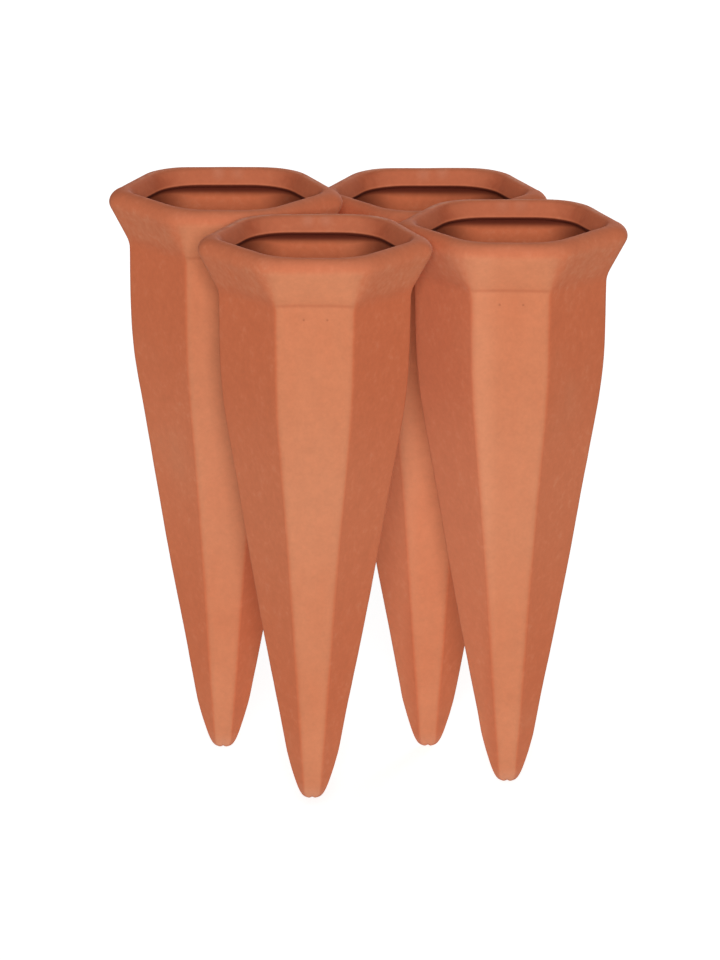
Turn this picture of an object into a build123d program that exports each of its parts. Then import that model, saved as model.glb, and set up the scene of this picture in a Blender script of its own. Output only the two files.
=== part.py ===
from build123d import *
import os
from math import atan2, cos, degrees, pi, radians, sin, tan

# A set of four self watering spikes. Each one is a single slip-cast terracotta shell: a six-sided
# tapering shank that is pushed into the soil, and a flared collar with a rolled lip that takes the
# neck of an upturned bottle. Water seeps out through the unglazed wall.
# Millimetres and degrees. +Z is up and -Y faces the viewer. The origin is on the axis of the front
# left spike, at the crease under its collar, which is where the soil comes up to.

# Driving dimensions of one spike
HEIGHT = 180.0  # rim plane down to the tip
COLLAR_HEIGHT = 17.0  # rim plane down to the crease under the collar
NECK_RADIUS = 30.4  # axis to a corner at the crease, with the corner still sharp
FLARE_REACH = 8.95  # how far the flare stands out past the crease, where it would meet the rim plane
SHOULDER_RADIUS = 29.8  # axis to a corner where the shank turns into the taper
SHOULDER_DEPTH = 48.5  # rim plane down to that turn
SHOULDER_BEND = 185.0  # radius of the turn, seen along a facet
NOSE_RADIUS = 8.1  # axis to a corner where the taper steepens into the nose
NOSE_HEIGHT = 13.0  # tip up to that place
NOSE_BEND = 40.0  # radius of that turn, seen along a facet
TIP_RADIUS = 2.9  # axis to a corner of the nose, where it would meet the tip
TIP_BALL = 6.0  # radius of the ball that the tip is rounded to

# Plan of the six-sided section, as angles that its facets take up about the axis
FRONT_FACET = 46.0
SIDE_FACET = 60.0  # each of the four side facets; the back facet takes what is left

# The shell
WALL = 4.0  # level and square to a facet
FLOOR_HEIGHT = 30.0  # tip up to the bottom of the hollow
LIP_WIDTH = 10.35  # unrounded rim edge in to the throat, square to a facet
LIP_THICKNESS = 5.0  # rim plane down to the underside of the lip
LIP_ROUND = 3.8  # rounding of the lip on the outside
LIP_FLAT = 0.3  # level strip left along the top of the lip
FUNNEL = 26.0  # how far the inside of the lip leans from upright, down to the throat
THROAT_CORNER = 3.0  # rounding of the throat's corners
EDGE_ROUND = 1.2  # rounding of the shank's edges, which the flare widens up to the rim

# How the set stands
GAP = 1.0  # between the lips of a front spike and the one behind it
FRONT_GAP = 2.5  # between the corners that the two front lips pass each other with
BACK_LEFT_ACROSS = -28.0  # from the axis of the front left spike
BACK_RIGHT_ACROSS = 36.0
FRONT_RIGHT_DEEPER = 3.3  # how much further down than the front left spike
BACK_LEFT_DEEPER = 0.9
BACK_RIGHT_DEEPER = 9.2

OVERLAP = 1.5  # how far the collar and the shank run into each other, past the crease
FAR = 100.0  # past the far side of a spike, for what is cut away outside a facet

# Levels, measured from the crease
RIM_Z = COLLAR_HEIGHT
LIP_Z = RIM_Z - LIP_THICKNESS
SHOULDER_Z = RIM_Z - SHOULDER_DEPTH
TIP_Z = RIM_Z - HEIGHT
NOSE_Z = TIP_Z + NOSE_HEIGHT
FLOOR_Z = TIP_Z + FLOOR_HEIGHT

# Half angles of the six facets in order, and the direction that each of them faces
BACK_FACET = 360 - FRONT_FACET - 4 * SIDE_FACET
HALVES = [facet / 2 for facet in (FRONT_FACET, SIDE_FACET, SIDE_FACET, BACK_FACET, SIDE_FACET, SIDE_FACET)]
FACINGS = [-90 - HALVES[0] + 2 * sum(HALVES[:number]) + half for number, half in enumerate(HALVES)]

# The flare leans out by one angle all round. The rounding on the outside of the lip ends this far in from
# the unrounded rim edge, and the inside of the lip gets the rounding that leaves the level strip.
FLARE = atan2(FLARE_REACH, COLLAR_HEIGHT)
LIP_REACH = LIP_ROUND / tan((pi / 2 - FLARE) / 2)
FUNNEL_REACH = LIP_THICKNESS * tan(radians(FUNNEL))
INNER_ROUND = (LIP_WIDTH - LIP_REACH - LIP_FLAT - FUNNEL_REACH) / tan(radians(90 - FUNNEL) / 2)


def neck_radius(z):
    """Axis to a corner of the shank at a level above the shoulder."""
    return NECK_RADIUS + (SHOULDER_RADIUS - NECK_RADIUS) * z / SHOULDER_Z


def taper_radius(z):
    """Axis to a corner of the taper at a level below the shoulder."""
    return NOSE_RADIUS + (SHOULDER_RADIUS - NOSE_RADIUS) * (z - NOSE_Z) / (SHOULDER_Z - NOSE_Z)


def section(step_out, corner):
    """Face in the plan of the crease, with its facets stepped out and its corners rounded."""
    turns = [radians(facing + half) for facing, half in zip(FACINGS, HALVES)]
    corners = [(NECK_RADIUS * cos(turn), NECK_RADIUS * sin(turn)) for turn in turns]
    face = offset(make_face(Polyline(corners, close=True)), step_out, kind=Kind.INTERSECTION)
    return fillet(face.vertices(), corner)


def behind(outline, facing, bends=()):
    """All that lies behind a facet, whose outline is given from the top down as distance out and level."""
    line = FilletPolyline(*outline, radius=list(bends)) if bends else Polyline(*outline)
    top = outline[0]
    foot = outline[-1]
    back = Polyline(foot, (-FAR, foot[1]), (-FAR, top[1]), top)
    across = cos(radians(facing))
    along = sin(radians(facing))
    plane = Plane((0, 0, 0), x_dir=(across, along, 0), z_dir=(along, -across, 0))
    return extrude(plane * make_face([line, back]), FAR, both=True)


def six_sided(points, bends=()):
    """Form behind six facets that follow one line, given as axis to corner, step out and level."""
    form = None
    for facing, half in zip(FACINGS, HALVES):
        outline = [(radius * cos(radians(half)) + step_out, z) for radius, step_out, z in points]
        side = behind(outline, facing, bends)
        form = form & side if form else side
    return form


def softened(shank):
    """The shank with its six sharp edges taken off, by a cut that runs out at the nose."""
    line = [(neck_radius(OVERLAP), OVERLAP), (SHOULDER_RADIUS, SHOULDER_Z), (taper_radius(TIP_Z), TIP_Z)]
    for number, (facing, half) in enumerate(zip(FACINGS, HALVES)):
        turn = radians(half + HALVES[(number + 1) % len(HALVES)])
        depth = EDGE_ROUND * (1 / cos(turn / 2) - 1)
        shank = shank & behind([(radius - depth, z) for radius, z in line], facing + half, [SHOULDER_BEND])
    return shank


def shank_form():
    """The shank, from inside the collar down to a tip that is rounded to a ball."""
    shank = six_sided(
        [
            (neck_radius(OVERLAP), 0, OVERLAP),
            (SHOULDER_RADIUS, 0, SHOULDER_Z),
            (NOSE_RADIUS, 0, NOSE_Z),
            (TIP_RADIUS, 0, TIP_Z),
        ],
        bends=[SHOULDER_BEND, NOSE_BEND],
    )
    above = Box(FAR, FAR, HEIGHT, align=(Align.CENTER, Align.CENTER, Align.MIN))
    # The ball lies on its side, so that neither of its poles comes at the tip.
    ball = Rot(X=90) * Sphere(TIP_BALL)
    return softened(shank) & Pos(Z=TIP_Z + TIP_BALL) * (ball + above)


def drawn_in(face, depth, lean):
    """Form that narrows from a face in the rim plane downwards, with its sides leaning by so many degrees."""
    return Pos(Z=RIM_Z) * Rot(Y=180) * extrude(face, depth, taper=lean)


def collar_form():
    """The flare, drawn in from the rim until it is inside the shank."""
    rim = section(FLARE_REACH, EDGE_ROUND + FLARE_REACH)
    return drawn_in(rim, COLLAR_HEIGHT + OVERLAP, degrees(FLARE))


def throat_form():
    """The funnel inside the lip, from the rim plane to the underside of the lip."""
    mouth = section(FLARE_REACH - LIP_WIDTH + FUNNEL_REACH, THROAT_CORNER + FUNNEL_REACH)
    return drawn_in(mouth, LIP_THICKNESS, FUNNEL)


def hollow_form():
    """The inside, one wall in from the outside, from the underside of the lip to the floor."""
    return six_sided(
        [
            (NECK_RADIUS, LIP_Z * tan(FLARE) - WALL, LIP_Z),
            (NECK_RADIUS, -WALL, 0),
            (SHOULDER_RADIUS, -WALL, SHOULDER_Z),
            (taper_radius(FLOOR_Z), -WALL, FLOOR_Z),
        ]
    )


def spike():
    shell = shank_form() + collar_form() - hollow_form() - throat_form()
    rim = shell.faces().sort_by(Axis.Z)[-1]
    shell = fillet(rim.outer_wire().edges(), LIP_ROUND)
    rim = shell.faces().sort_by(Axis.Z)[-1]
    return fillet(rim.inner_wires()[0].edges(), INNER_ROUND)


def lip_apothem(half):
    """Axis to the lip at its widest, square to a facet of that half angle."""
    return NECK_RADIUS * cos(radians(half)) + FLARE_REACH - LIP_REACH + LIP_ROUND


def spots():
    """Where each spike's crease stands, so that every lip clears its neighbours."""
    row = lip_apothem(FRONT_FACET / 2) + lip_apothem(BACK_FACET / 2) + GAP
    # The right-hand one of the front pair is set back until its left corner passes the other's back corner.
    back_corner = 90 - BACK_FACET / 2
    passing = SIDE_FACET / 2
    corner_round = EDGE_ROUND + FLARE_REACH - LIP_REACH + LIP_ROUND
    lip_corner = (lip_apothem(SIDE_FACET / 2) - corner_round) / cos(radians(SIDE_FACET / 2)) + corner_round
    step = 2 * lip_corner * cos(radians(back_corner - passing)) + FRONT_GAP
    right = step * cos(radians(passing))
    right_back = step * sin(radians(passing))
    return {
        "spike_front_left": (0, 0, 0),
        "spike_front_right": (right, right_back, -FRONT_RIGHT_DEEPER),
        "spike_back_left": (BACK_LEFT_ACROSS, row, -BACK_LEFT_DEEPER),
        "spike_back_right": (BACK_RIGHT_ACROSS, right_back + row, -BACK_RIGHT_DEEPER),
    }


one = spike()
os.makedirs("parts", exist_ok=True)
for name, spot in spots().items():
    export_step(Pos(spot) * one, f"parts/{name}.step")
    print(name, [round(value, 2) for value in spot])
print("volume of one", round(one.volume), "valid", one.is_valid)
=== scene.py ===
# %% [markdown]
# # A set of four terracotta watering spikes
# Each spike is one hollow shell of unglazed clay, cast in a plaster mould. Its six-sided shank goes
# into the soil, and its flared collar holds the neck of an upturned bottle, whose water seeps out
# through the wall. The packed model gives the place and the size of every spike. This lesson makes
# the finer cast shapes in those places and gives them their clay.

# %% Load the fixed frame
from math import cos, degrees, exp, hypot, pi, radians, sin, tan

import bmesh
import bpy
from mathutils import Matrix, Vector, noise


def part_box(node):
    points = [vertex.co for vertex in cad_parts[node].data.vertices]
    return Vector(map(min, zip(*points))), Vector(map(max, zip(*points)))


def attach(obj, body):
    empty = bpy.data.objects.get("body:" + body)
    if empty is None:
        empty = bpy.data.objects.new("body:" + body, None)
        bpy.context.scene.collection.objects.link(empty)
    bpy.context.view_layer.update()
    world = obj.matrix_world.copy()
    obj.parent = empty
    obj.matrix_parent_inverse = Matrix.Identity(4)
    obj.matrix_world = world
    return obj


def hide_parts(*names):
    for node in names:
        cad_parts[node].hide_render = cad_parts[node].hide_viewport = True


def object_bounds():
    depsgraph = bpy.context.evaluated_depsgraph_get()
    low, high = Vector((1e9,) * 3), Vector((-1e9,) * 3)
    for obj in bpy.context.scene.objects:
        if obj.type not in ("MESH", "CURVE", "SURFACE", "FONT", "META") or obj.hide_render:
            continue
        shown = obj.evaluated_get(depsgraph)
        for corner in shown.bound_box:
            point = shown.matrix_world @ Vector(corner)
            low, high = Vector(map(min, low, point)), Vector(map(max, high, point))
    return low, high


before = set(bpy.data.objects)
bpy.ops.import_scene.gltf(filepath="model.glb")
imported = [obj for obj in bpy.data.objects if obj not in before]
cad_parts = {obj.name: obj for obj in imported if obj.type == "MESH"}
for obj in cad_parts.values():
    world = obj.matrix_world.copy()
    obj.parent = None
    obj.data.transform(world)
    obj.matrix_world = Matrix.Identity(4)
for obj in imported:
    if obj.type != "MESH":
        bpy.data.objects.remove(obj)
cad_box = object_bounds()
print("CAD box in metres", [[round(value, 4) for value in corner] for corner in cad_box])

# %% [markdown]
# ## The camera
# The photograph was taken from straight in front and a little above, from so far away that the
# spikes at the back look as large as those at the front. A very long lens at ten metres gives that
# look. An orthographic camera would too, but it can't step back when the camera is moved round.

# %% Camera
MM = 0.001
IMAGE_HEIGHT = 0.2975  # metres from the bottom of the picture to its top, at the object
LENS = 1250.0  # millimetres
SENSOR = 36.0
ELEVATION = radians(14.0)
LEAN = radians(0.33)  # the picture is turned by this much
AIM = Vector((14.28, 1.0, -61.5)) * MM  # seen in the middle of the picture
SEES_TO = 3.0  # how far the camera sees, in distances to the object

distance = IMAGE_HEIGHT * LENS / SENSOR
away = Vector((0, -cos(ELEVATION), sin(ELEVATION)))
camera_data = bpy.data.cameras.new("camera")
camera_data.lens = LENS
camera_data.sensor_width = SENSOR
camera_data.clip_end = SEES_TO * distance
camera = bpy.data.objects.new("camera", camera_data)
camera.matrix_world = (
    Matrix.Translation(AIM + away * distance)
    @ Matrix.Rotation(pi / 2 - ELEVATION, 4, "X")
    @ Matrix.Rotation(LEAN, 4, "Z")
)
bpy.context.scene.collection.objects.link(camera)
bpy.context.scene.camera = camera
print("camera at", [round(value, 3) for value in camera.location])

# %% [markdown]
# ## The plan of a spike
# Seen from above, a spike is a hexagon that isn't quite regular: its front facet is narrower than
# the four at its sides, and the back one takes what is left. Every level has the same six
# directions, so a level is told by how far its corners are from the axis, how far each facet is
# stepped out from there, and how round its corners are. A six-sided cylinder would be regular and
# sharp, so each level starts as a six-sided face whose corners are moved, and rounded by a vertex
# bevel. Its long edges are divided so that the clay can undulate later.

# %% Directions of the six facets
FACETS = [46.0, 60.0, 60.0, 74.0, 60.0, 60.0]  # degrees about the axis, from the front one round
SIDES = len(FACETS)

halves = [radians(facet / 2) for facet in FACETS]
facings = [-pi / 2 - halves[0] + 2 * sum(halves[:n]) + halves[n] for n in range(SIDES)]


def plan_corner(number, radius, steps):
    """Where a facet's line meets the next one's, with each stepped out by its own amount."""
    following = (number + 1) % SIDES
    turn = halves[number] + halves[following]
    here = radius * cos(halves[number]) + steps[number]
    there = radius * cos(halves[following]) + steps[following]
    along = (there - here * cos(turn)) / sin(turn)
    facing = facings[number]
    return here * cos(facing) - along * sin(facing), here * sin(facing) + along * cos(facing)


print("facets face", [round(degrees(facing)) for facing in facings])

# %% One level of a spike
CORNER_STEPS = 4
FACET_CUTS = 5
NO_STEPS = [0.0] * SIDES
TRIAL_RADIUS = 30.0


def rounds(front, side, back):
    """Roundings of the six corners, from the right one of the front facet on."""
    return [front, side, back, back, side, front]


def add_level(bm, radius, steps, z, roundings):
    """Adds a face with the outline of one level, and returns it."""
    made = bmesh.ops.create_circle(bm, cap_ends=True, segments=SIDES, radius=radius)
    for number, vertex in enumerate(made["verts"]):
        vertex.co = (*plan_corner(number, radius, steps), z)
    for number, vertex in enumerate(made["verts"]):
        half_turn = (halves[number] + halves[(number + 1) % SIDES]) / 2
        rounded = bmesh.ops.bevel(
            bm,
            geom=[vertex],
            offset=roundings[number] * tan(half_turn),
            offset_type="OFFSET",
            affect="VERTICES",
            segments=CORNER_STEPS,
            profile=0.5,
            material=-1,
        )
    face = rounded["verts"][0].link_faces[0]
    longest = sorted(face.edges, key=lambda edge: edge.calc_length())[-SIDES:]
    cut = bmesh.ops.subdivide_edges(bm, edges=longest, cuts=FACET_CUTS)
    added = next(item for item in cut["geom_inner"] if isinstance(item, bmesh.types.BMVert))
    return added.link_faces[0]


trial = bmesh.new()
trial_face = add_level(trial, TRIAL_RADIUS, NO_STEPS, 0.0, rounds(3.0, 2.0, 3.0))
print("points round one level", len(trial_face.verts))
trial.free()

# %% [markdown]
# ## The outside of the shank
# The shank hardly narrows at first, then bends into a long taper that swells a little, and ends in a
# blunt, bullet-shaped nose. It could be drawn point by point, but a profile says it all: a few places
# with the distance from the axis to a corner, and a soft bend where two straight runs meet.

# %% Profile of the shank
TIP_Z = -163.0
NECK = 30.4  # axis to a corner at the crease under the collar, which is level 0
SHOULDER = (-31.5, 29.8)  # level, axis to corner
NOSE = (-147.4, 8.42)
SHOULDER_BEND = 13.5  # half the height that the bend takes up
SWELL = 0.45  # how far the taper swells from straight
SWELL_AT = -100.0
SWELL_REACH = 30.0

neck_slope = (SHOULDER[1] - NECK) / SHOULDER[0]
taper_slope = (NOSE[1] - SHOULDER[1]) / (NOSE[0] - SHOULDER[0])


def bump(value, middle, reach):
    """1 at the middle, falling off to both sides like a bell."""
    return exp(-(((value - middle) / reach) ** 2))


def shank_radius(z):
    """Axis to a corner of the shank above its nose, with the bend at the shoulder eased."""
    below = SHOULDER[0] - z
    if below <= -SHOULDER_BEND:
        return NECK + neck_slope * z
    bend = below if below >= SHOULDER_BEND else (below + SHOULDER_BEND) ** 2 / (4 * SHOULDER_BEND)
    swell = SWELL * bump(z, SWELL_AT, SWELL_REACH)
    return NECK + neck_slope * z - (taper_slope - neck_slope) * bend + swell


print("corners of the taper come in by", round(taper_slope, 3), "for each millimetre down")

# %% [markdown]
# ## The facets of the shank
# On the real spike the front facet is a little narrower half way down than a flat one would be, which
# is what a facet that bellies out looks like. Near the tip the front and back facets are drawn in more
# than the others, so they stay broad there. The edges are rounded, and more so at the front. Points
# could be pulled about later for this, but small steps of the facets at each level keep it even.

# %% Facets and edges of the shank
BELLY = 1.05  # how far the front facet stands out, half way down
BELLY_AT = -92.0
BELLY_REACH = 46.0
NOSE_DRAWN_IN = 1.4  # how far the front and back facets come in at the tip
DRAWN_CURVE = 1.5  # above 1, the drawing in starts slowly
FADE_RADIUS = 4.0  # closer to the axis than this, both of them fade out
SHANK_ROUNDS = rounds(3.2, 1.7, 2.6)
ROUND_SHARES = rounds(0.3, 0.14, 0.3)  # most that a rounding may be, as a share of axis to corner


def shank_steps(z, radius):
    """How far the facets of the shank stand out at a level, from the front one round."""
    fade = min(1.0, radius / FADE_RADIUS)
    belly = BELLY * bump(z, BELLY_AT, BELLY_REACH) * fade
    into_nose = max(0.0, (NOSE[0] - z) / (NOSE[0] - TIP_Z))
    drawn = NOSE_DRAWN_IN * into_nose**DRAWN_CURVE * fade
    return [belly - drawn, 0.0, 0.0, -drawn, 0.0, 0.0]


def shank_rounds(radius):
    """Roundings of the shank's edges, which get smaller as it narrows."""
    return [min(rounding, share * radius) for rounding, share in zip(SHANK_ROUNDS, ROUND_SHARES)]


print("front edges are rounded by", [round(shank_rounds(radius)[0], 2) for radius in (NECK, NOSE[1])])

# %% [markdown]
# ## Levels and courses
# The wall of a spike is one line that runs from the tip up the outside, over the lip and down the
# inside. Each level on that line gets a course, a number for how far along it is: 0 on the nose, 1 at
# the crease, 2 at the foot of the lip's roll, 3 on its ridge, 4 at the throat and 5 in the hollow. The
# clay's marks will be placed by course later, because height alone can't tell outside from inside.

# %% Levels of the shank
NOSE_COURSE = 0.0
TAPER_COURSE = 0.3
NECK_COURSE = 0.6
NOSE_LEVELS = [  # level, axis to corner
    (-162.98, 0.5), (-162.92, 1.3), (-162.75, 2.05), (-162.4, 2.72), (-161.8, 3.36), (-160.9, 3.96),
    (-159.6, 4.62), (-157.7, 5.36), (-155.1, 6.22), (-152.6, 7.02), (-150.0, 7.73),
]
TAPER_LEVELS = [
    -147.4, -144.0, -140.0, -135.0, -129.0, -122.0, -114.0, -106.0, -98.0, -90.0, -82.0, -74.0,
    -66.0, -58.0, -52.0, -46.0, -40.0,
]
NECK_LEVELS = [-34.0, -28.0, -22.0, -16.0, -11.5, -8.0]

levels = []  # each one is: course, axis to corner, steps of the facets, level, roundings
for z, radius in NOSE_LEVELS:
    levels.append((NOSE_COURSE, radius, shank_steps(z, radius), z, shank_rounds(radius)))
for course, places in ((TAPER_COURSE, TAPER_LEVELS), (NECK_COURSE, NECK_LEVELS)):
    for z in places:
        radius = shank_radius(z)
        levels.append((course, radius, shank_steps(z, radius), z, shank_rounds(radius)))
print("levels of the shank", len(levels))

# %% [markdown]
# ## The collar
# Above the crease the wall leans out into a collar. An extrusion would give it one sharp crease all
# round. On the real spike the crease is crisp on the front facet and wiped soft on the others, so each
# facet eases into the collar over its own height. The corners get rounder on the way up, as they are
# much rounder at the lip than on the shank.

# %% Levels of the collar
FLARE = radians(27.77)  # how far the collar leans out
CREASE_EASE = [0.9, 1.8, 1.8, 1.5, 1.8, 1.8]  # half the height that each facet eases over
COLLAR_LEVELS = [-5.5, -3.8, -2.4, -1.3, -0.6, 0.0, 0.6, 1.3, 2.4, 3.8, 5.5, 7.5, 9.5]
COLLAR_WIDENS = rounds(0.95, 0.4, 0.8)  # what a rounding gains with each millimetre up the collar
CREASE_COURSE = 1.0
COURSE_LENGTH = 20.0  # millimetres of the collar that would make one course


def flare_steps(z, wall=0.0):
    """How far each facet of the collar stands out at a level, eased at the crease."""
    steps = []
    for ease in CREASE_EASE:
        up = 0.0 if z <= -ease else z if z >= ease else (z + ease) ** 2 / (4 * ease)
        steps.append(tan(FLARE) * up - wall)
    return steps


def widened(roundings, gains, amount):
    """Roundings after each has gained so many times its own gain."""
    return [rounding + gain * amount for rounding, gain in zip(roundings, gains)]


for z in COLLAR_LEVELS:
    roundings = widened(SHANK_ROUNDS, COLLAR_WIDENS, max(z, 0.0))
    course = CREASE_COURSE + z / COURSE_LENGTH
    levels.append((course, shank_radius(min(z, 0.0)), flare_steps(z), z, roundings))
print("levels up to the lip", len(levels))

# %% [markdown]
# ## The lip
# The collar rolls over a soft lip, which has a low ridge on top, and falls as a funnel to the throat.
# The roll and the ridge are arcs. Spinning them would lose the six sides, so a few levels are set along
# each arc, and the smoothing later makes them round.

# %% Levels of the roll, the ridge and the funnel
RIM_Z = 17.0
ROLL_COURSE = 2.0
RIDGE_COURSE = 3.0
FUNNEL_COURSE = 3.5
ROLL = 3.8  # radius of the arc
ROLL_OUT = 2.65  # step out of its middle
ROLL_PARTS = 8
ROLL_ROUNDS = rounds(12.4, 6.0, 10.4)
ROLL_WIDENS = rounds(0.15, 0.38, 0.34)  # with each part of the arc
RIDGE = 2.1
RIDGE_OUT = 2.35
RIDGE_PARTS = 4
RIDGE_ROUNDS = rounds(13.6, 9.0, 13.1)
RIDGE_WIDENS = rounds(-0.3, -0.3, 0.0)
FUNNEL = radians(26.0)  # how far it leans from upright
FUNNEL_DEPTHS = [2.2, 3.2, 4.0, 4.6]  # below the rim
FUNNEL_ROUNDS = rounds(12.4, 7.4, 13.0)
FUNNEL_LENGTH = 10.0  # millimetres of the funnel that would make one course
THROAT_DEPTH = 5.0
THROAT_OUT = -1.4


def add_stepped(course, out, z, roundings):
    """Notes a level whose facets all stand out by the same amount from the crease."""
    levels.append((course, NECK, [out] * SIDES, z, roundings))


for part in range(ROLL_PARTS + 1):
    turn = -FLARE + (pi / 2 + FLARE) * part / ROLL_PARTS
    out, z = ROLL_OUT + ROLL * cos(turn), RIM_Z - ROLL + ROLL * sin(turn)
    add_stepped(ROLL_COURSE + part / ROLL_PARTS, out, z, widened(ROLL_ROUNDS, ROLL_WIDENS, part))
for part in range(1, RIDGE_PARTS + 1):
    turn = pi / 2 + (pi / 2 - FUNNEL) * part / RIDGE_PARTS
    out, z = RIDGE_OUT + RIDGE * cos(turn), RIM_Z - RIDGE + RIDGE * sin(turn)
    course = RIDGE_COURSE + (FUNNEL_COURSE - RIDGE_COURSE) * part / RIDGE_PARTS
    add_stepped(course, out, z, widened(RIDGE_ROUNDS, RIDGE_WIDENS, part))
for down in FUNNEL_DEPTHS:
    out = THROAT_OUT + (THROAT_DEPTH - down) * tan(FUNNEL)
    add_stepped(FUNNEL_COURSE + down / FUNNEL_LENGTH, out, RIM_Z - down, FUNNEL_ROUNDS)
print("levels up to the throat", len(levels))

# %% [markdown]
# ## The hollow
# Slip casting leaves a wall of even thickness, so the hollow follows the outside one wall further in,
# down to a floor some way above the tip. The underside of the lip joins it to the throat. A solidify
# would make the wall in one go, but not the lip, which is thicker than the wall.

# %% Levels of the hollow
THROAT_COURSE = 4.0
HOLLOW_COURSE = 5.0
THROAT_LEVELS = [(-1.3, 0.15), (-1.05, 0.7), (-0.3, 1.0), (1.2, 1.05), (2.4, 1.35)]  # step out, depth
THROAT_ROUNDS = rounds(11.5, 6.8, 13.4)
WALL = 4.0
COLLAR_WALL = 3.0
INNER_COLLAR = [  # level, course
    (10.2, 4.1), (9.2, 4.2), (8.0, 4.35), (6.0, 4.5), (3.5, 4.7), (1.0, 4.9), (-2.0, 5.0), (-6.0, 5.0),
]
INNER_ROUNDS = rounds(7.0, 4.0, 9.0)
FLOOR_Z = -133.0
HOLLOW_LEVELS = [-13.0, -21.0, -30.0, -40.0, -52.0, -66.0, -80.0, -94.0, -108.0, -121.0, -131.5]
HOLLOW_ROUND = 3.0
HOLLOW_SHARE = 0.2  # most that it may be, as a share of axis to corner
FLOOR_LEVELS = [(0.7, 0.3), (2.0, 0.0)]  # in from the wall, above the floor
FLOOR_ROUNDS = rounds(1.2, 1.2, 1.2)

for out, down in THROAT_LEVELS:
    add_stepped(THROAT_COURSE, out, RIM_Z - THROAT_DEPTH - down, THROAT_ROUNDS)
top, bottom = INNER_COLLAR[0][0], INNER_COLLAR[-1][0]
for z, course in INNER_COLLAR:
    wall = COLLAR_WALL + (WALL - COLLAR_WALL) * (top - z) / (top - bottom)
    levels.append((course, shank_radius(min(z, 0.0)), flare_steps(z, wall), z, INNER_ROUNDS))
for z in HOLLOW_LEVELS:
    soft = min(HOLLOW_ROUND, HOLLOW_SHARE * shank_radius(z))
    levels.append((HOLLOW_COURSE, shank_radius(z), [-WALL] * SIDES, z, rounds(soft, soft, soft)))
for inward, up in FLOOR_LEVELS:
    steps = [-WALL - inward] * SIDES
    levels.append((HOLLOW_COURSE, shank_radius(FLOOR_Z), steps, FLOOR_Z + up, FLOOR_ROUNDS))
print("levels in all", len(levels))

# %% [markdown]
# ## Casting the shell
# Each level is a face, and its outline alone is needed, so the faces in between are deleted and the
# outlines are joined by bridging each one to the next. The first and the last face stay, and close
# the tip and the floor of the hollow. Every point keeps its course. A Subdivision Surface then rounds
# the whole shell evenly, as wet clay is when it is wiped with a sponge.

# %% Cast one shell
SMOOTHING = 2


def cast_shell():
    """A closed shell in millimetres about its own axis, as a bmesh."""
    bm = bmesh.new()
    course_layer = bm.verts.layers.float.new("course")
    before = None
    for number, (course, *level) in enumerate(levels):
        face = add_level(bm, *level)
        for vertex in face.verts:
            vertex[course_layer] = course
        edges = list(face.edges)
        if 0 < number < len(levels) - 1:
            bmesh.ops.delete(bm, geom=[face], context="FACES_ONLY")
        if before:
            bmesh.ops.bridge_loops(bm, edges=before + edges)
        before = edges
    bmesh.ops.recalc_face_normals(bm, faces=bm.faces)
    return bm


def smoothed(bm, name):
    """The mesh that a Subdivision Surface makes of a bmesh."""
    mesh = bpy.data.meshes.new(name)
    bm.to_mesh(mesh)
    bm.free()
    rough = bpy.data.objects.new(name, mesh)
    bpy.context.scene.collection.objects.link(rough)
    subdivision = rough.modifiers.new("smoothing", "SUBSURF")
    subdivision.levels = SMOOTHING
    subdivision.render_levels = SMOOTHING
    fine = bpy.data.meshes.new_from_object(rough.evaluated_get(bpy.context.evaluated_depsgraph_get()))
    bpy.data.objects.remove(rough)
    return fine


shell = smoothed(cast_shell(), "cast_shell")
print("faces of one shell", len(shell.polygons))

# %% [markdown]
# ## The hand of the maker
# No two casts are quite alike. The front of the crease rides up a little, the back of the rim has
# a low crown, the tip keeps a small cleft from the mould's seam, and every facet waves by a tenth of
# a millimetre. Sculpting would do it by hand. Small moves of the finished points do it in code, with
# a noise that is the same each run.

# %% Moves of the cast points
CREASE_LIFT = 0.6
LIFT_REACH = 7.0  # above and below the crease
LIFT_SPREAD = 0.6  # to both sides, as a share of the distance from the axis
LEAST_FRONT = 6.0  # that distance is taken to be at least this
RIM_CROWN = 0.25
CROWN_AT = 8.0  # right of the middle
CROWN_REACH = 14.0
CROWN_FROM = 8.0  # level above which the rim is moved
FRONT_CROWN = 0.7  # share of the crown that the front of the rim keeps all along
CLEFT = 0.32
CLEFT_WIDTH = 0.55
CLEFT_HEIGHT = 1.2
WAVES = [(0.11, 21.0), (0.045, 6.0)]  # height and length of the waves
WAVE_MIDDLE = 0.5  # waves go in more than out, so that nothing leaves the CAD box


def worked(place, normal, seed):
    """A point of the shell after the maker's small moves, in millimetres."""
    x, y, z = place
    moved = place.copy()
    front = bump(x / max(-y, LEAST_FRONT), 0.0, LIFT_SPREAD) if y < 0 else 0.0
    moved.z += CREASE_LIFT * front * bump(z, 0.0, LIFT_REACH)
    if z > CROWN_FROM:
        crown = bump(x, CROWN_AT, CROWN_REACH) if y > 0 else FRONT_CROWN
        moved.z -= RIM_CROWN * (1.0 - crown) * min(1.0, (z - CROWN_FROM) / (RIM_Z - CROWN_FROM))
    moved.z += CLEFT * bump(x, 0.0, CLEFT_WIDTH) * bump(z, TIP_Z, CLEFT_HEIGHT)
    push = sum(height * (noise.noise(place / length + seed) - WAVE_MIDDLE) for height, length in WAVES)
    return moved + normal * push


lowest = Vector((0.0, 0.0, TIP_Z))
print("the cleft is", round(worked(lowest, Vector(), Vector()).z - TIP_Z, 2), "mm deep")

# %% [markdown]
# ## Placing the set
# The packed model knows where each spike stands, so the shell's axis is read from the box of the CAD
# node that it takes the place of. Each point first stores its own place on the spike and how far its
# face is turned to the front, because the clay's marks need both and neither can be told from the
# finished place. The object itself stays at the origin, and its place is in its mesh.

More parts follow.
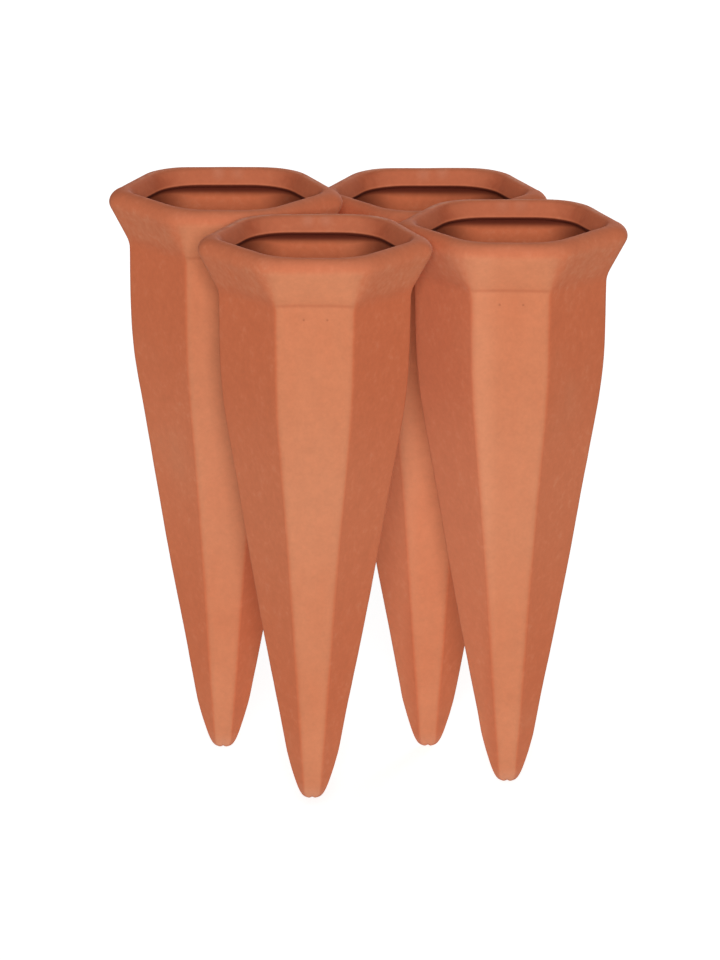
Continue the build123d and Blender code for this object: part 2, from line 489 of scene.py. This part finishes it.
# %% Place the four spikes
FRONT_REACH = 34.44  # axis to the front of the lip
BODIES = ["front_left", "front_right", "back_left", "back_right"]
SEED_STEP = Vector((13.0, 7.0, 29.0))  # between the waves of one spike and the next
LEAST_LEVEL = 0.05  # keeps a face that looks straight up from dividing by nothing

spikes = []
for number, body in enumerate(BODIES):
    low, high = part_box("spike_" + body)
    axis = Vector(((low.x + high.x) / 2, low.y + FRONT_REACH * MM, high.z - RIM_Z * MM))
    mesh = shell.copy()
    for name, kind in (("own_place", "FLOAT_VECTOR"), ("turned", "FLOAT")):
        mesh.attributes.new(name, kind, "POINT")
    own, turned = mesh.attributes["own_place"].data, mesh.attributes["turned"].data
    normals = [vertex.normal.copy() for vertex in mesh.vertices]
    for vertex, normal, kept, front in zip(mesh.vertices, normals, own, turned):
        kept.vector = vertex.co
        front.value = -normal.y / max(hypot(normal.x, normal.y), LEAST_LEVEL)
        vertex.co = axis + worked(vertex.co, normal, SEED_STEP * number) * MM
    mesh.shade_smooth()
    spike = bpy.data.objects.new("clay_spike_" + body, mesh)
    bpy.context.scene.collection.objects.link(spike)
    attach(spike, body)
    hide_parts("spike_" + body)
    spikes.append(spike)
    print(spike.name, "axis at", [round(value / MM, 2) for value in axis])

# %% [markdown]
# ## Writing shader maths
# A material is a web of nodes. Written out node by node it is hard to read, so one small class holds
# an output socket and lets plain arithmetic add the Math nodes. Its add method makes any other node
# from its type, its settings and what goes into its sockets.

# %% A socket that sums can be written with


class Wire:
    """An output socket of a node tree."""

    def __init__(self, tree, socket=None):
        self.tree = tree
        self.socket = socket

    def add(self, kind, settings=None, sockets=None, output=0):
        """Adds a node, its settings first and then its values and links. Returns one of its outputs."""
        node = self.tree.nodes.new(kind)
        for name, value in (settings or {}).items():
            setattr(node, name, value)
        for name, value in (sockets or {}).items():
            if isinstance(value, Wire):
                self.tree.links.new(value.socket, node.inputs[name])
            else:
                node.inputs[name].default_value = value
        return Wire(self.tree, node.outputs[output])

    def other(self, output):
        """Another output of the same node."""
        return Wire(self.tree, self.socket.node.outputs[output])

    def into(self, socket):
        """Links this to a socket of a node that is already there."""
        self.tree.links.new(self.socket, socket)

    def maths(self, operation, first, second=0.0):
        return self.add("ShaderNodeMath", {"operation": operation}, {0: first, 1: second})

    def __add__(self, other):
        return self.maths("ADD", self, other)

    def __sub__(self, other):
        return self.maths("SUBTRACT", self, other)

    def __rsub__(self, other):
        return self.maths("SUBTRACT", other, self)

    def __mul__(self, other):
        return self.maths("MULTIPLY", self, other)

    def __abs__(self):
        return self.maths("ABSOLUTE", self)

    __radd__ = __add__
    __rmul__ = __mul__

    def or_more(self, other):
        """The larger of two values."""
        return self.maths("MAXIMUM", self, other)

    def rise(self, start, end):
        """0 below start and 1 above end, with a soft change in between."""
        steps = {"Value": self, "From Min": start, "From Max": end}
        return self.add("ShaderNodeMapRange", {"interpolation_type": "SMOOTHSTEP"}, steps)

    def near(self, middle, reach):
        """1 at the middle, falling softly to 0 at the reach."""
        return 1 - abs(self - middle).rise(0.0, reach)

    def blend(self, first, second):
        """Mixes two colours, with this as the share of the second."""
        return self.add("ShaderNodeMix", {"data_type": "RGBA"}, {0: self, 6: first, 7: second}, output=2)


print("a wire can", [name for name in vars(Wire) if not name.startswith("__")])

# %% [markdown]
# ## The clay
# Low-fired terracotta is matt and never one colour. The front and back facets are painted paler and
# pinker and the ones between redder, which is painted light and shade for the lamp in front. A grey-pink
# mineral bloom lies over the collar and the middle of the shank. A painted picture would need an
# unwrapped surface, so noise and masks do it here. The noise reads Object coordinates, so that no two
# spikes carry the same mottle.

# %% Colours


def colour(red, green, blue):
    """A colour as it is read off a screen, from 0 to 255, made linear by the sRGB curve."""
    channels = [value / 255 for value in (red, green, blue)]
    return [c / 12.92 if c <= 0.04045 else ((c + 0.055) / 1.055) ** 2.4 for c in channels] + [1.0]


# The paler clay is painted light on the front and back facets and random paler tone; the red clay left
# on the facets between stands for their painted shade.
PALE_AND_LIT_CLAY = colour(207, 127, 89)
RED_CLAY = colour(208, 112, 73)
LIP_CLAY = colour(208, 120, 84)
SOFT_SHADE_CLAY = colour(172, 84, 54)
DARK_SHADE_CLAY = colour(82, 22, 7)
LIT_COLLAR_CLAY = colour(220, 140, 100)
BLOOM_AND_LIGHT = colour(206, 149, 115)
DUST = colour(224, 168, 140)
print("red clay in linear light", [round(channel, 3) for channel in RED_CLAY[:3]])

# %% Places and noise
clay = bpy.data.materials.new("terracotta")
clay.use_nodes = True
skin = clay.node_tree.nodes["Principled BSDF"]
web = Wire(clay.node_tree)
place = web.add("ShaderNodeTexCoord", output="Object")
own = web.add("ShaderNodeAttribute", {"attribute_name": "own_place"}, output="Vector")
course = web.add("ShaderNodeAttribute", {"attribute_name": "course"}, output="Fac")
turned = web.add("ShaderNodeAttribute", {"attribute_name": "turned"}, output="Fac")
x = web.add("ShaderNodeSeparateXYZ", None, {"Vector": own}, output="X")
y = x.other("Y")
z = x.other("Z")


def grain(size, detail=2.0, stretch=(1.0, 1.0, 1.0), roughness=0.5):
    """Noise from 0 to 1 whose lumps are so many millimetres across."""
    placed = web.add("ShaderNodeVectorMath", {"operation": "MULTIPLY"}, {0: place, 1: stretch})
    sockets = {"Vector": placed, "Scale": 1 / (size * MM), "Detail": detail, "Roughness": roughness}
    return web.add("ShaderNodeTexNoise", None, sockets, output="Fac")


MIDDLE = 0.5  # of every noise
patches = grain(26.0, detail=3.0)
mottle = grain(5.5, detail=3.0)
fleck = grain(1.9)
speckle = grain(0.9)
pores = grain(0.55, detail=3.0, roughness=0.6)
wipe = grain(4.0, stretch=(1.0, 1.0, 0.08))
print("noise nodes in the clay", sum(node.type == "TEX_NOISE" for node in web.tree.nodes))

# %% [markdown]
# ## Where the marks lie
# Painting weights by hand would mark the parts of a spike too, but they can be told from what each
# point stores. The lip, the mouth and the collar are told by course, the facets by how far they are
# turned to the front, and the marks along the shank by height. Each mask is 1 on its own part and
# falls softly to 0 beside it, so that one colour wipes into the next as on the real clay.

# %% Masks of the parts
FLARE_BEGINS = (1.0, 1.3)  # these are courses
COLLAR_BEGINS = (0.9, 1.25)
LIP_BEGINS = (1.95, 2.5)
MOUTH_BEGINS = (3.1, 3.3)
MOUTH_ENDS = (3.9, 4.0)
INSIDE_BEGINS = (3.95, 4.05)
FRONT_TURN = (0.73, 0.98)  # these are cosines of the angle to the front
FRONT_TURN_MORE = (0.09, 0.015)  # on the flare, whose edges are rounder
BACK_TURN = (0.55, 0.9)

lip = course.rise(*LIP_BEGINS)
flare = course.rise(*FLARE_BEGINS)
front_turn = [turn + flare * more for turn, more in zip(FRONT_TURN, FRONT_TURN_MORE)]
front_facet = turned.rise(*front_turn) * (1 - lip)
back_facet = (0 - turned).rise(*BACK_TURN) * (1 - lip)
broad = front_facet.or_more(back_facet)
collar = course.rise(*COLLAR_BEGINS) * (1 - lip)
collar_sides = collar * (1 - broad)
mouth = course.rise(*MOUTH_BEGINS) * (1 - course.rise(*MOUTH_ENDS))
inside = course.rise(*INSIDE_BEGINS)
print("nodes with the parts", len(web.tree.nodes))

# %% Masks along the shank and across the set
WAIST = (-68.0, 62.0)  # level and reach
TAPER_BELOW = (25.0, 60.0)  # millimetres under the crease
NOSE_BELOW = (132.0, 156.0)
TIP_BELOW = (157.0, 163.0)
EDGE_TURN = (0.69, 0.085)  # cosine and reach
BACK_ROW = (0.0, 0.1)  # metres behind the axis of the front left spike
RIGHT_HAND = (0.0, 0.03)  # metres to the right of it
LEFT_SIDE = (2.0, 9.0)  # millimetres left of a spike's own axis

down = 0 - z
waist = z.near(*WAIST)
taper = down.rise(*TAPER_BELOW)
nose = down.rise(*NOSE_BELOW)
tip = down.rise(*TIP_BELOW)
# Painted shade along the rounded edges of the facets on the taper.
edge = turned.near(*EDGE_TURN) * taper * (1 - nose)
across = web.add("ShaderNodeSeparateXYZ", None, {"Vector": place}, output="X")
# Painted light: the spikes of the back row, and the left faces of those on the right, lie partly in the
# front spikes' shade and are painted paler to lift it.
back_row_lift = across.other("Y").rise(*BACK_ROW)
shadow_lift = across.rise(*RIGHT_HAND) * (0 - x).rise(*LEFT_SIDE) * (1 - lip)
print("nodes with the shank", len(web.tree.nodes))

# %% Masks of the small marks and of the painted shade
CREASE_LINE = (1.02, 0.05)  # course and reach
RIDGE_LINE = (3.0, 0.16)
RIDGE_PATCHES = (0.36, 0.6)  # these are values of a noise
RIDGE_BACK = (-6.0, 12.0)  # millimetres behind the axis
CORNER_TURN = (0.0, 0.3)
UNDERCUT_BEGINS = (3.96, 4.0)
UNDERCUT_ENDS = (4.12, 4.4)
MOUTH_SIDES = (9.0, 21.0)  # millimetres to either side of the axis
CORNER_SHADE_SIDES = (20.0, 7.0)
CORNER_SHADE_BACK = (0.0, 6.0)
CORNER_SHADE_PATCHES = (0.35, 0.65)
SALT_FLECKS = (0.45, 0.85)
SALT_PATCHES = (0.4, 0.7)

# Painted shade: a thin darker line along the crease on the front facet.
crease = course.near(*CREASE_LINE) * front_facet
ridge = course.near(*RIDGE_LINE) * mottle.rise(*RIDGE_PATCHES) * y.rise(*RIDGE_BACK)
corner = turned.near(*CORNER_TURN) * collar
# Painted shade: dark under the overhang of the throat and at the ends of the hollow.
undercut_shade = course.rise(*UNDERCUT_BEGINS) * (1 - course.rise(*UNDERCUT_ENDS))
mouth_end_shade = abs(x).rise(*MOUTH_SIDES) * inside
# Painted shade in the inner back corners of the mouth, in mottled patches.
mouth_corner_shade = abs(x).near(*CORNER_SHADE_SIDES) * y.rise(*CORNER_SHADE_BACK) * mouth * mottle.rise(*CORNER_SHADE_PATCHES)
salts = fleck.rise(*SALT_FLECKS) * mottle.rise(*SALT_PATCHES) * (1 - front_facet)
print("nodes with the small marks", len(web.tree.nodes))

# %% Pinholes and blotches
PINHOLES = [(-3.4, -4.0), (3.9, -4.0)]  # right of the middle and above the crease
PINHOLE_REACH = 0.55
BLOTCHES = [(-2.4, 15.6), (3.4, 15.8)]
BLOTCH_REACH = 3.2
BLOTCH_BACK = (5.0, 8.0)


def spot(right, up, reach):
    """1 at a place on a facet that faces the front or the back, falling softly to 0 at the reach."""
    offset = web.add("ShaderNodeCombineXYZ", None, {"X": x - right, "Y": z - up})
    length = web.add("ShaderNodeVectorMath", {"operation": "LENGTH"}, {0: offset}, output="Value")
    return 1 - length.rise(0.0, reach)


pinholes = sum(spot(*hole, PINHOLE_REACH) for hole in PINHOLES) * front_facet
blotches = sum(spot(*blotch, BLOTCH_REACH) for blotch in BLOTCHES) * mottle * mouth
blotches = blotches * y.rise(*BLOTCH_BACK)
print("nodes with the spots", len(web.tree.nodes))

# %% [markdown]
# ## Laying on the colours
# The colours go on one after another: the red body; the paler clay of the front and back facets, which
# is painted light mixed with random paler tone; painted light on the collar's front; the lip's own clay;
# the mineral bloom with painted light on the shaded faces; what handling has rubbed to dust; and last
# the painted shade deep in the mouth, under the throat, at the mouth's ends and corners, along the
# crease and the facet edges, and in the pinholes. Each layer is a Mix node, and its factor adds up its
# masks.

# %% Body, painted light, bloom and dust
LIT_COLLAR_SHARE = 0.7
LIP_TURN = (0.5, 0.9)
LIP_ENDS = 0.3  # share of the lip's own clay at its ends
LIP_FRONT = 0.55  # what its front has more
HAZE = 0.13
HAZE_FLECKS = 0.4
BLOOM_PATCHES = (0.5, 0.85)
CORNER_FLECKS = (0.4, 0.7)


def laid_on(*layers):
    """Adds up masks, each of which comes with its share."""
    return sum(mask * share for mask, share in layers)


# Painted light: the front and back facets and the collar are painted paler, as the front lamp lights
# them, mixed with random patches and streaks of paler tone.
pale_and_lit = laid_on((broad, 0.9), (collar, 0.3), (patches - MIDDLE, 0.7), (wipe - MIDDLE, 0.4)).rise(0.0, 1.0)
lip_share = (lip - inside) * (LIP_ENDS + turned.rise(*LIP_TURN) * LIP_FRONT)
# Mineral bloom on the collar's sides, in patches, at the waist and in salt flecks, with painted light:
# paler on the taper, the nose, the back row and the faces that lie in the front spikes' shade.
bloom_and_light = laid_on(
    (collar_sides, HAZE),
    (collar_sides * (fleck - MIDDLE), HAZE_FLECKS),
    (patches.rise(*BLOOM_PATCHES), 0.1),
    (waist, 0.1),
    (waist * broad, 0.05),
    (taper, 0.05),
    (shadow_lift, 0.22),
    (nose, 0.1),
    (back_row_lift * broad, 0.06),
    (salts, 0.25),
)
rubbed = laid_on((ridge, 0.35), (corner * fleck.rise(*CORNER_FLECKS), 0.25), (tip, 0.3), (blotches, 0.4))
base = pale_and_lit.blend(RED_CLAY, PALE_AND_LIT_CLAY)
# Painted light: the front of the collar, which leans down away from the lamp, is painted paler so that
# it looks as bright as the facet under it.
base = (collar * front_facet * LIT_COLLAR_SHARE).blend(base, LIT_COLLAR_CLAY)
base = lip_share.blend(base, LIP_CLAY)
base = bloom_and_light.blend(base, BLOOM_AND_LIGHT)
base = rubbed.blend(base, DUST)
print("colour layers so far", sum(node.type == "MIX" for node in web.tree.nodes))

# %% Painted shade and brightness
UNDERCUT_SHARE = 0.95
ENDS_SHARE = 0.6
PINHOLE_SHARE = 0.3
FIRED = 0.92  # brightness of the clay before the grain and the paler parts

# Painted shade: the inside of the mouth, the crease, the mouth's inner corners and the edges of the
# facets on the taper are painted darker where shade falls.
soft_shade = laid_on((mouth, 0.3), (crease, 0.26), (mouth_corner_shade, 0.4), (edge, 0.14))
# Painted shade under the throat and at the hollow's ends; the pinholes are real holes, and their dark is
# painted shade.
dark_shade = (undercut_shade * UNDERCUT_SHARE).or_more(mouth_end_shade * ENDS_SHARE) + pinholes * PINHOLE_SHARE
base = soft_shade.blend(base, SOFT_SHADE_CLAY)
base = dark_shade.blend(base, DARK_SHADE_CLAY)
grainy = laid_on((speckle, 0.1), (mottle - MIDDLE, 0.13), (fleck - MIDDLE, 0.13))
# Painted light and shade in the brightness: the taper, the nose, the back row, the shaded faces and the
# collar's sides are painted paler, and the mouth darker.
painted_light_and_shade = laid_on(
    (taper, 0.055),
    (taper * broad, -0.025),
    (nose, 0.03),
    (back_row_lift, 0.025),
    (back_row_lift * waist, 0.05),
    (shadow_lift, 0.08),
    (collar_sides, 0.06),
    (mouth, -0.04),
)
shade = FIRED + grainy + painted_light_and_shade
base = web.add("ShaderNodeVectorMath", {"operation": "SCALE"}, {0: base, "Scale": shade})
base.into(skin.inputs["Base Color"])
print("colour layers in all", sum(node.type == "MIX" for node in web.tree.nodes))

# %% [markdown]
# ## The skin of the clay
# Unglazed clay has no gloss to speak of, and its pores can just be felt. The pores, the speckle and the
# mottle are far smaller than the waves that were modelled, so a Bump node is enough for them. The bloom
# is a fine powder, and makes the surface rougher still; its mask, which also carries the painted light,
# sets the roughness.

# %% Roughness and relief
ROUGH = 0.84
RELIEF = 0.35
RELIEF_HEIGHT = 0.5  # millimetres
GLOSS = 0.25

rough = ROUGH + laid_on((speckle, 0.1), (bloom_and_light, 0.1))
rough.into(skin.inputs["Roughness"])
height = laid_on((pores, 0.05), (speckle, 0.08), (mottle, 0.12), (pinholes, -0.6))
relief_sockets = {"Height": height, "Strength": RELIEF, "Distance": RELIEF_HEIGHT * MM}
web.add("ShaderNodeBump", None, relief_sockets).into(skin.inputs["Normal"])
skin.inputs["Specular IOR Level"].default_value = GLOSS
for spike in spikes:
    spike.data.materials.append(clay)
print("clay given to", len(spikes), "spikes, nodes in all", len(web.tree.nodes))

# %% [markdown]
# ## Floor and backdrop
# The photograph is cut out on white, so the floor and the world are white to the camera. A lamp strong
# enough for that would bleach the clay, so the floor gets a glow that shows but lights nothing, and it
# still takes the soft shadow of the tips.

# %% Floor
FLOOR_SIZE = 4.0  # metres from its middle to its edge
PAPER_WHITE = (0.86, 0.86, 0.86, 1.0)
FLOOR_GLOW = 0.66  # what the camera sees of the floor before any light falls on it

sheet = bmesh.new()
bmesh.ops.create_grid(sheet, x_segments=1, y_segments=1, size=FLOOR_SIZE)
bmesh.ops.translate(sheet, verts=sheet.verts, vec=(0, 0, cad_box[0].z))
floor_mesh = bpy.data.meshes.new("floor")
sheet.to_mesh(floor_mesh)
sheet.free()
floor = bpy.data.objects.new("floor", floor_mesh)
bpy.context.scene.collection.objects.link(floor)


def seen(wire):
    """1 for rays that show the backdrop: straight to the camera, in gloss or through glass."""
    straight = wire.add("ShaderNodeLightPath", output="Is Camera Ray")
    in_gloss = straight.other("Is Glossy Ray")
    through_glass = straight.other("Is Transmission Ray")
    return straight.or_more(in_gloss).or_more(through_glass)


paper = bpy.data.materials.new("white_paper")
paper.use_nodes = True
paper.node_tree.nodes.remove(paper.node_tree.nodes["Principled BSDF"])
paper_web = Wire(paper.node_tree)
matt = paper_web.add("ShaderNodeBsdfDiffuse", None, {"Color": PAPER_WHITE})
glow = paper_web.add("ShaderNodeEmission", None, {"Strength": seen(paper_web) * FLOOR_GLOW})
both = paper_web.add("ShaderNodeAddShader", None, {0: matt, 1: glow})
both.into(paper.node_tree.nodes["Material Output"].inputs["Surface"])
floor_mesh.materials.append(paper)
print("floor at", round(cad_box[0].z / MM, 1), "mm")

# %% [markdown]
# ## Light
# In the photograph the collar is as bright as the facet under it and the top of the lip is darker, so
# the light comes from the front and hardly from above. Each spike also has a soft dark edge on the one
# behind it, at its left and its right alike, so the light comes along the camera's own line. A sun
# would make hard shadows, so one broad round lamp at six metres does it. The world fills in from all
# round, and a weaker lamp behind shows the back when it is looked at.

# %% World and lamps
FILL = 0.25

world = bpy.data.worlds.new("studio")
bpy.context.scene.world = world
world.use_nodes = True
backdrop = world.node_tree.nodes["Background"]
backdrop.inputs["Color"].default_value = (1, 1, 1, 1)
strength = seen(Wire(world.node_tree)) * (1 - FILL) + FILL
strength.into(backdrop.inputs["Strength"])


def lamp(name, place, size, watts):
    """A round soft lamp that points at the middle of the set."""
    data = bpy.data.lights.new(name, "AREA")
    data.shape = "DISK"
    data.size = size
    data.energy = watts
    holder = bpy.data.objects.new(name, data)
    middle = (cad_box[0] + cad_box[1]) / 2
    holder.location = place
    holder.rotation_euler = (middle - Vector(place)).to_track_quat("-Z", "Y").to_euler()
    bpy.context.scene.collection.objects.link(holder)


lamp("front_lamp", place=(0.02, -5.8, 1.5), size=1.3, watts=257.0)
lamp("back_lamp", place=(1.0, 2.7, 0.5), size=1.2, watts=34.0)
bpy.context.scene.view_settings.view_transform = "Standard"

# %% [markdown]
